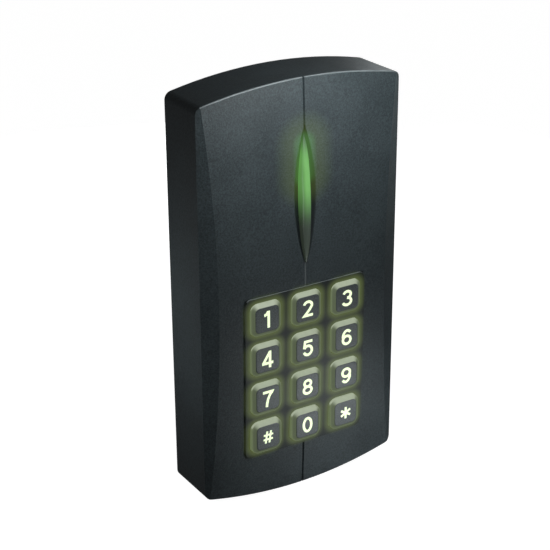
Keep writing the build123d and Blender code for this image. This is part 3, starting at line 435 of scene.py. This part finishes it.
HOUSING_COLOUR = (0.0245, 0.0315, 0.0345)
# Painted shade: the dark colour of the keypad panel between the keys.
PANEL_SHADE_COLOUR = (0.009, 0.012, 0.013)
# Painted shade: the dark colour of the dish round the status light.
DISH_SHADE_COLOUR = (0.006, 0.008, 0.009)
# Painted highlight: the paler colour of the seam line below the status light.
SEAM_HIGHLIGHT_COLOUR = (0.15, 0.165, 0.17)
# Painted highlight: the paler colour of the arched edges and the panel's top edge.
EDGE_HIGHLIGHT_COLOUR = (0.16, 0.175, 0.18)
EDGE_HIGHLIGHT_SHARE = 0.7  # how far the edges' painted highlight turns them to its paler colour

KEY_GLOW = (0.084, 0.108, 0.030)
LENS_GLOW_NEAR = (0.046, 0.130, 0.022)
LENS_GLOW_FAR = (0.026, 0.038, 0.002)
NO_GLOW = (0, 0, 0)

KEY_BEVEL_COLOURS = ((0.060, 0.068, 0.046), (0.085, 0.094, 0.066))
KEY_PAINT_COLOURS = ((0.014, 0.018, 0.022), (0.062, 0.070, 0.078))
KEY_PAINT_GLOW = (0.006, 0.008, 0.005)
KEY_BEVEL_GLOW = (0.060, 0.076, 0.040)
KEY_FOOT_GLOW = (0.115, 0.145, 0.075)
# Glow of the upward-facing bevel, a painted highlight of the light from above.
KEY_TOP_HIGHLIGHT_GLOWS = ((0.30, 0.34, 0.25), (0.38, 0.43, 0.32))
LEGEND_GLOWS = ((0.78, 0.93, 0.56), (0.90, 1.0, 0.68))
LENS_CORE_GLOWS = ((0.135, 0.39, 0.085), (0.165, 0.44, 0.105))
LENS_DIM_GLOW = (0.020, 0.026, 0.019)

TRACK_GRID = {
    "Scale": 1.0,
    "Mortar Size": 0.14 * MM,
    "Mortar Smooth": 0.2,
    "Brick Width": 5.6 * MM,
    "Row Height": 1.27 * MM,
}
RESIST_COLOURS = ((0.008, 0.075, 0.036), (0.016, 0.145, 0.062))
GLASS_FIBRE = (0.33, 0.30, 0.16)
EPOXY = (0.018, 0.018, 0.02)
PHOSPHOR = (0.8, 0.55, 0.08)
TIN = (0.62, 0.62, 0.6)


def moulded(name, colour, roughness=0.5, grain=0.35 * MM, depth=0.02 * MM, specular=0.3):
    """Textured moulding: fine spark-eroded grain, with faint broad changes of tone and gloss."""
    shader = Shader(name, colour, roughness, Specular_IOR_Level=specular)
    broad = shader.noise(14 * MM, 2.0)
    fine = shader.noise(grain, 4.0, 0.65)
    speck = shader.noise(grain * 1.5, 2.0, 0.5)
    pits = shader.maths("ADD", shader.times(fine, 0.5), shader.times(speck, 0.5))
    blend = shader.maths("ADD", shader.times(broad, 0.15), shader.times(pits, 0.85))
    shader.tone = shader.mix(shader.fade(blend, 0.34, 0.66), scaled(colour, 0.62), scaled(colour, 1.5))
    shader.paint(shader.tone)
    shader.roughen(broad, roughness - 0.04, roughness + 0.05)
    shader.bump(pits, depth)
    return shader


def housing_material():
    """Dark blue-grey matt plastic that takes the painted glow of the keys and the status light, with
    painted shade on the panel and in the dish and painted highlights on the seam and the edges.
    """
    shader = moulded("housing_plastic", HOUSING_COLOUR, 0.47, depth=0.07 * MM, specular=0.32)
    # Painted shade on the panel between the keys.
    colour = shader.mix(painted_panel_shade(shader), shader.tone, PANEL_SHADE_COLOUR)
    # Painted shade in the dish round the status light.
    colour = shader.mix(painted_dish_shade(shader), colour, DISH_SHADE_COLOUR)
    # Painted highlight along the seam below the status light.
    colour = shader.mix(painted_seam_highlight(shader), colour, SEAM_HIGHLIGHT_COLOUR)
    # Painted highlight along the arched edges and the panel's top edge.
    colour = shader.mix(shader.times(painted_edge_highlight(shader), EDGE_HIGHLIGHT_SHARE), colour, EDGE_HIGHLIGHT_COLOUR)
    shader.paint(colour)
    shader.glow(shader.mix(key_glow(shader), lens_glow(shader), KEY_GLOW))
    return shader.material


def keycap_material():
    """Milky cap with a dark painted face: the bevel and the sides let the backlight through, and the
    upward-facing bevel glows brighter as a painted highlight of the light from above.
    """
    shader = Shader("keycap_plastic", (0.2, 0.21, 0.17), 0.4, Specular_IOR_Level=0.5)
    on_face = shader.fade(shader.y, KEY_FACE_Y + 0.16 * MM, KEY_FACE_Y + 0.05 * MM)
    fine = shader.noise(0.3 * MM, 3.0)
    cloud = shader.noise(1.6 * MM, 2.0)
    bevel = shader.mix(fine, *KEY_BEVEL_COLOURS)
    paint = shader.mix(shader.fade(fine, 0.3, 0.7), *KEY_PAINT_COLOURS)
    shader.paint(shader.mix(on_face, bevel, paint))
    deep = shader.fade(shader.y, KEY_FACE_Y + 0.55 * MM, KEY_FACE_Y + 0.95 * MM)
    light = shader.mix(deep, KEY_BEVEL_GLOW, KEY_FOOT_GLOW)
    # Painted highlight: the bevel glows brighter where it faces up.
    upward = shader.fade(shader.upward(), 0.25, 0.62)
    light = shader.mix(upward, light, shader.mix(cloud, *KEY_TOP_HIGHLIGHT_GLOWS))
    shader.glow(shader.mix(on_face, light, KEY_PAINT_GLOW))
    shader.bump(fine, 0.012 * MM)
    return shader.material


def legend_material():
    """Clear legend in the paint, lit from behind."""
    shader = Shader("legend_light", (0.35, 0.38, 0.28), 0.4)
    shader.glow(shader.mix(shader.noise(1.5 * MM, 2.0), *LEGEND_GLOWS), 0.95)
    return shader.material


def light_guide_material():
    """Tinted acrylic, bright over its LEDs and grey towards its lower tip."""
    finish = {"Specular_IOR_Level": 0.4, "Coat_Weight": 0.15}
    shader = Shader("light_guide_acrylic", (0.030, 0.037, 0.032), 0.26, **finish)
    share = shader.maths("DIVIDE", shader.minus(shader.z, LENS_LOW), LENS_HIGH - LENS_LOW)
    rise = shader.maths("POWER", shader.fade(share, 0.24, 0.64), 1.4)
    fall = shader.fade(share, 0.80, 0.99, 1.0, 0.22)
    across = shader.fade(shader.away(shader.x), 0.4 * MM, 1.5 * MM, 1.0, 0.6)
    lit = shader.times(shader.times(rise, fall), across)
    core = shader.mix(shader.noise(3 * MM, 2.0), *LENS_CORE_GLOWS)
    shader.glow(shader.mix(lit, LENS_DIM_GLOW, core))
    return shader.material


def rubber_material(name, colour):
    shader = Shader(name, colour, 0.75, Specular_IOR_Level=0.25)
    fine = shader.noise(0.25 * MM, 4.0)
    shader.paint(shader.mix(fine, scaled(colour, 0.8), scaled(colour, 1.25)))
    shader.bump(fine, 0.01 * MM)
    return shader.material


def metal_material(name, colour, roughness, grain=0.4 * MM):
    """Plated or drawn metal with fine scratches and a few duller patches."""
    shader = Shader(name, colour, roughness, Metallic=1.0)
    stretched = shader.node("ShaderNodeMapping", Vector=shader.places)
    stretched.inputs["Scale"].default_value = (1.0, 1.0, 9.0)
    scratches = shader.noise(grain, 5.0, 0.6, stretched.outputs["Vector"])
    shader.tone = shader.mix(shader.noise(3 * MM, 3.0), scaled(colour, 0.82), colour)
    shader.paint(shader.tone)
    shader.roughen(scratches, roughness - 0.07, roughness + 0.12)
    shader.bump(scratches, 0.006 * MM)
    return shader


def board_material():
    """Green solder resist, with raised copper tracks on a fine grid under it and glass-fibre edges."""
    finish = {"Specular_IOR_Level": 0.5, "Coat_Weight": 0.3}
    shader = Shader("circuit_board_resist", (0.012, 0.10, 0.05), 0.3, **finish)
    upright = shader.node("ShaderNodeMapping", Vector=shader.places)
    upright.inputs["Rotation"].default_value = (math.radians(90), 0, 0)
    lines = shader.node("ShaderNodeTexBrick", Vector=upright.outputs["Vector"])
    for socket, number in TRACK_GRID.items():
        lines.inputs[socket].default_value = number
    ground = shader.fade(shader.noise(9 * MM, 1.0), 0.52, 0.56)
    track = shader.larger(shader.times(lines.outputs["Fac"], 0.9), ground)
    resist = shader.mix(track, *RESIST_COLOURS)
    half = (BOARD_BACK_Y - BOARD_FRONT_Y) / 2
    from_middle = shader.away(shader.y, (BOARD_FRONT_Y + BOARD_BACK_Y) / 2)
    edge = shader.fade(from_middle, half - 0.08 * MM, half - 0.04 * MM, 1.0, 0.0)
    shader.paint(shader.mix(edge, resist, GLASS_FIBRE))
    shader.bump(track, 0.035 * MM)
    return shader.material


def chip_material(name, colour):
    """Moulded epoxy or fired ceramic, with a fine grain."""
    shader = Shader(name, colour, 0.55, Specular_IOR_Level=0.4)
    fine = shader.noise(0.2 * MM, 4.0)
    shader.tone = shader.mix(fine, scaled(colour, 0.7), scaled(colour, 1.5))
    shader.paint(shader.tone)
    shader.bump(fine, 0.008 * MM)
    return shader


def tinned(shader, metal):
    """Turns the stretch where metal is 1 into tin-plated legs, tabs or caps."""
    bright = shader.mix(shader.noise(0.5 * MM, 3.0), scaled(TIN, 0.75), TIN)
    shader.paint(shader.mix(metal, shader.tone, bright))
    shader.feed(shader.principled.inputs["Metallic"], metal)
    shader.feed(shader.principled.inputs["Roughness"], shader.fade(metal, 0.0, 1.0, 0.55, 0.3))
    return shader.material


def legged_chip(node, axis, leg):
    """A package whose legs or tabs stick out along an axis, each by about leg."""
    shader = chip_material(node + "_epoxy", EPOXY)
    place = shader.x if axis == 0 else shader.z
    edge = extent(node)[axis] / 2 - leg
    away = shader.away(place, middle(node)[axis])
    return tinned(shader, shader.fade(away, edge - 0.05 * MM, edge + 0.05 * MM))


def can_on_base():
    """Aluminium can with a dark crescent of a marking, on its black base."""
    shader = metal_material("capacitor_can", (0.74, 0.75, 0.77), 0.26)
    low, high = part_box("capacitors")
    base = shader.fade(shader.y, BOARD_BACK_Y + 1.3 * MM, BOARD_BACK_Y + 1.2 * MM)
    on_top = shader.fade(shader.y, high[1] - 0.3 * MM, high[1] - 0.2 * MM)
    marks = []
    for side in (low[0], high[0] - CAPACITOR_BASE):
        inside = shader.minus(shader.x, side + CAPACITOR_BASE * 0.28)
        near, far = shader.fade(inside, 0.05 * MM, 0.0), shader.fade(inside, -3 * MM, -2.9 * MM)
        marks.append(shader.times(near, far))
    dark = shader.larger(base, shader.times(shader.larger(*marks), on_top))
    shader.paint(shader.mix(dark, shader.tone, (0.012, 0.012, 0.013)))
    shader.feed(shader.principled.inputs["Metallic"], shader.minus(1.0, dark))
    return shader.material


def led_material(name, node):
    """White ceramic package with a yellow phosphor window in its middle."""
    shader = chip_material(name, (0.6, 0.59, 0.52))
    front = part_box(node)[0][1]
    deep = shader.fade(shader.y, front + 0.1 * MM, front + 0.3 * MM)
    board = shader.fade(shader.y, BOARD_FRONT_Y - 0.9 * MM, BOARD_FRONT_Y - 0.8 * MM, 1.0, 0.0)
    shader.paint(shader.mix(shader.times(deep, board), shader.tone, PHOSPHOR))
    return shader.material


def resistor_material():
    """Dark ceramic with a tinned cap at each end."""
    shader = chip_material("resistor_ceramic", (0.03, 0.03, 0.034))
    low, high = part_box("chip_resistors")
    half = RESISTOR_LENGTH / 2
    caps = []
    for centre in (low[0] + half, high[0] - half):
        away = shader.away(shader.x, centre)
        cap = shader.fade(away, half - 0.45 * MM, half - 0.38 * MM)
        caps.append(shader.times(cap, shader.fade(away, 1.2 * half, 1.3 * half, 1.0, 0.0)))
    return tinned(shader, shader.larger(*caps))


def wire_material():
    """Enamelled copper, a little uneven in its red."""
    shader = Shader("enamelled_copper", (0.62, 0.2, 0.06), 0.26, Metallic=0.85, Coat_Weight=0.6)
    shader.paint(shader.mix(shader.noise(5 * MM, 2.0), (0.45, 0.13, 0.035), (0.68, 0.24, 0.08)))
    shader.bump(shader.noise(0.3 * MM, 3.0), 0.008 * MM)
    return shader.material


def hard_plastic(name, colour, roughness, depth):
    """A smoother, glossier moulding."""
    return moulded(name, colour, roughness, depth=depth, specular=0.5).material


def make_materials():
    """One material for each of the record's slots."""
    return {
        "housing": housing_material(),
        "plate": moulded("plate_plastic", (0.022, 0.024, 0.027), 0.55).material,
        "light_guide": light_guide_material(),
        "keycap": keycap_material(),
        "legend": legend_material(),
        "silicone": rubber_material("keymat_silicone", (0.5, 0.52, 0.46)),
        "carbon": rubber_material("carbon_pill", (0.02, 0.02, 0.021)),
        "board": board_material(),
        "gold": metal_material("gold_plate", (0.85, 0.6, 0.24), 0.25).material,
        "led": led_material("led_ceramic", "status_leds"),
        "bobbin": moulded("bobbin_plastic", (0.03, 0.03, 0.032), 0.5).material,
        "copper": wire_material(),
        "chip": chip_material("chip_epoxy", EPOXY).material,
        "can": metal_material("can_steel", (0.66, 0.67, 0.68), 0.3).material,
        "ceramic_chip": resistor_material(),
        "buzzer": moulded("buzzer_plastic", (0.014, 0.014, 0.015), 0.4).material,
        "terminal": hard_plastic("terminal_nylon", (0.025, 0.19, 0.08), 0.38, 0.01 * MM),
        "plunger": hard_plastic("plunger_plastic", (0.55, 0.55, 0.52), 0.4, 0.008 * MM),
        "steel_screw": metal_material("zinc_plate", (0.6, 0.61, 0.63), 0.28).material,
        "brass": metal_material("turned_brass", (0.75, 0.53, 0.22), 0.25).material,
        "rubber": rubber_material("grommet_rubber", (0.02, 0.02, 0.021)),
    }


def make_node_materials():
    """Pieces with more than one finish, which have a material of their own."""
    return {
        "microcontroller": legged_chip("microcontroller", 0, 0.9 * MM),
        "reader_chip": legged_chip("reader_chip", 0, 0.9 * MM),
        "voltage_regulator": legged_chip("voltage_regulator", 2, 2.2 * MM),
        "capacitors": can_on_base(),
        "keypad_leds": led_material("keypad_led_ceramic", "keypad_leds"),
    }


def dress_frame(materials):
    """Gives every node of the frame its material."""
    own = make_node_materials()
    for part in frame["record"]["subparts"]:
        for slot in nodes[part["node"]].material_slots:
            slot.material = own.get(part["node"], materials[part["material_slot"]])


# ---- Key legends ---------------------------------------------------------------------------------

LEGEND_THICKNESS = 0.06 * MM
LEGEND_SINK = 0.03 * MM
DIGIT_STROKE = 0.86  # in millimetres, as all the lines of the legends are
SIGN_STROKES = {"hash": 0.62, "star": 0.76}


def arc(x, z, across, up, start, end, steps=18):
    """Points of an oval's arc, in millimetres, from start to end in degrees."""
    angles = [math.radians(start + (end - start) * step / steps) for step in range(steps + 1)]
    return [(x + across * math.cos(angle), z + up * math.sin(angle)) for angle in angles]


def ring(x, z, across, up):
    return arc(x, z, across, up, 0, 360, 36)


def arm(angle, reach=1.95):
    """One bar of the star, through its middle."""
    across = reach * math.cos(math.radians(angle))
    up = reach * math.sin(math.radians(angle))
    return [(-across, -up), (across, up)]


SIX = [ring(0, -0.92, 1.38, 1.3), arc(0.12, 0, 1.5, 2.2, 182, 42)]
LEGENDS = {
    "0": [ring(0, 0, 1.36, 2.2)],
    "1": [[(0.42, 2.68), (0.42, -2.7)], arc(-1.3, 2.75, 1.55, 1.35, -4, -82)],
    "2": [arc(0, 1.05, 1.38, 1.15, 168, -22) + [(0.53394, -0.4702), (-1.22, -2.2), (1.75, -2.2)]],
    "3": [arc(-0.05, 1.15, 1.28, 1.05, 165, -90), arc(-0.08, -1.05, 1.48, 1.15, 90, -165)],
    "4": [[(0.78, 2.7), (0.78, -2.7)], [(0.72, 2.35), (-1.55, -1.05)], [(-1.95, -1.2), (1.9, -1.2)]],
    "5": [[(1.6, 2.2), (-0.98, 2.2), (-1.3, 0.0)], arc(0, -0.72, 1.42, 1.48, 152, -162)],
    "6": SIX,
    "7": [[(-1.75, 2.2), (1.5, 2.2)] + arc(2.4, -3.3, 2.85, 5.6, 112, 174)],
    "8": [ring(0, 1.15, 1.16, 1.05), ring(0, -1.07, 1.38, 1.15)],
    "9": [[(-x, -z) for x, z in stroke] for stroke in SIX],
    "hash": [
        [(-0.95, -2.0), (-0.35, 2.0)],
        [(0.35, -2.0), (0.95, 2.0)],
        [(-1.6, 0.75), (1.7, 0.75)],
        [(-1.7, -0.75), (1.6, -0.75)],
    ],
    "star": [arm(30), arm(90), arm(150)],
}


def as_object(name, made):
    """A mesh object of what was built, with its normals outward."""
    bmesh.ops.recalc_face_normals(made, faces=made.faces)
    mesh = bpy.data.meshes.new(name)
    made.to_mesh(mesh)
    made.free()
    piece = bpy.data.objects.new(name, mesh)
    scene.collection.objects.link(piece)
    return piece


def stroke_solid(points, width):
    """A flat bar of even width along a line of points, closed if it ends where it began."""
    line = [Vector(point) for point in points]
    closed = (line[0] - line[-1]).length < 1e-6
    if closed:
        line = line[:-1]
    count = len(line)
    sides = []
    for number, place in enumerate(line):
        before = line[number - 1] if number or closed else None
        after = line[(number + 1) % count] if number < count - 1 or closed else None
        headings = [(place - before).normalized()] if before is not None else []
        headings += [(after - place).normalized()] if after is not None else []
        heading = sum(headings, Vector((0, 0))).normalized()
        normal = Vector((-heading.y, heading.x))
        mitre = 1 / max(0.4, heading.dot(headings[0]))
        sides.append((place + normal * width / 2 * mitre, place - normal * width / 2 * mitre))
    made = bmesh.new()
    back, front = (
        [[made.verts.new((point.x * MM, y, point.y * MM)) for point in pair] for pair in sides]
        for y in (0, -LEGEND_THICKNESS)
    )
    for here in range(count if closed else count - 1):
        there = (here + 1) % count
        made.faces.new((back[here][0], back[there][0], back[there][1], back[here][1]))
        made.faces.new((front[here][0], front[here][1], front[there][1], front[there][0]))
        made.faces.new((back[here][0], front[here][0], front[there][0], back[there][0]))
        made.faces.new((back[here][1], back[there][1], front[there][1], front[here][1]))
    for end in () if closed else (0, count - 1):
        made.faces.new((back[end][0], back[end][1], front[end][1], front[end][0]))
    return as_object("stroke", made)


def joined(pieces):
    """The pieces made into one closed solid, without the walls inside it."""
    whole = pieces[0]
    for other in pieces[1:]:
        modifier = whole.modifiers.new("join", "BOOLEAN")
        modifier.operation = "UNION"
        modifier.solver = "EXACT"
        modifier.object = other
        evaluated = whole.evaluated_get(bpy.context.evaluated_depsgraph_get())
        applied = bpy.data.meshes.new_from_object(evaluated)
        whole.modifiers.clear()
        whole.data = applied
        bpy.data.objects.remove(other)
    return whole


def make_legend(name, key_node, material):
    """The key's sign, sunk a little into its face, which it moves with."""
    width = SIGN_STROKES.get(name, DIGIT_STROKE)
    legend = joined([stroke_solid(points, width) for points in LEGENDS[name]])
    legend.name = "legend_" + name
    key = middle(key_node)
    legend.data.transform(Matrix.Translation((key.x, KEY_FACE_Y + LEGEND_SINK, key.z)))
    legend.data.materials.clear()
    legend.data.materials.append(material)
    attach(legend, key_node)


# ---- Winding of the antenna ----------------------------------------------------------------------

WIRE = 0.36 * MM
WINDING_CORNER = 11.7 * MM  # radius of the outer layer's corners
WINDING_BUILD = 2.9 * MM  # from the outer layer to the inner one
CORNER_STEPS = 7
WIRE_SIDES = 8


def loop_points(low, high, corner):
    """Points and outward directions of a rounded rectangle, in x and z."""
    points = []
    for start, x, z in (
        (0, high.x - corner, high.z - corner),
        (90, low.x + corner, high.z - corner),
        (180, low.x + corner, low.z + corner),
        (270, high.x - corner, low.z + corner),
    ):
        for step in range(CORNER_STEPS + 1):
            angle = math.radians(start + 90 * step / CORNER_STEPS)
            out = Vector((math.cos(angle), 0, math.sin(angle)))
            points.append((Vector((x, 0, z)) + corner * out, out))
    return points


def add_turn(made, turn, y):
    """One turn of round wire, closed on itself, at a distance y from the wall."""
    rings = []
    for point, out in turn:
        section = []
        for side in range(WIRE_SIDES):
            angle = 2 * math.pi * side / WIRE_SIDES
            around = out * math.cos(angle) + Vector((0, 1, 0)) * math.sin(angle)
            section.append(made.verts.new(Vector((point.x, y, point.z)) + around * WIRE / 2))
        rings.append(section)
    for number, here in enumerate(rings):
        there = rings[(number + 1) % len(rings)]
        for side in range(WIRE_SIDES):
            after = (side + 1) % WIRE_SIDES
            made.faces.new((here[side], there[side], there[after], here[after]))


def make_winding(material):
    """The antenna's turns, layer on layer, in the space that the frame's plain ring holds."""
    low, high = (Vector(corner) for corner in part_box("antenna_coil"))
    rows = int((high.y - low.y) / WIRE)
    layers = int(WINDING_BUILD / WIRE)
    pitch_y = (high.y - low.y) / rows
    pitch_in = WINDING_BUILD / layers
    made = bmesh.new()
    for layer in range(layers):
        inset = pitch_in * (layer + 0.5)
        shift = Vector((inset, 0, inset))
        turn = loop_points(low + shift, high - shift, WINDING_CORNER - inset)
        for row in range(rows):
            add_turn(made, turn, low.y + pitch_y * (row + 0.5))
    for face in made.faces:
        face.smooth = True
    winding = as_object("antenna_winding", made)
    winding.data.materials.append(material)
    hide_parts("antenna_coil")
    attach(winding, "reader")


# ---- The whole scene --------------------------------------------------------------------------------


def main():
    materials = make_materials()
    dress_frame(materials)
    for name, key_node in KEY_LEGENDS.items():
        make_legend(name, key_node, materials["legend"])
    make_winding(materials["copper"])
    make_camera()
    make_studio()


main()
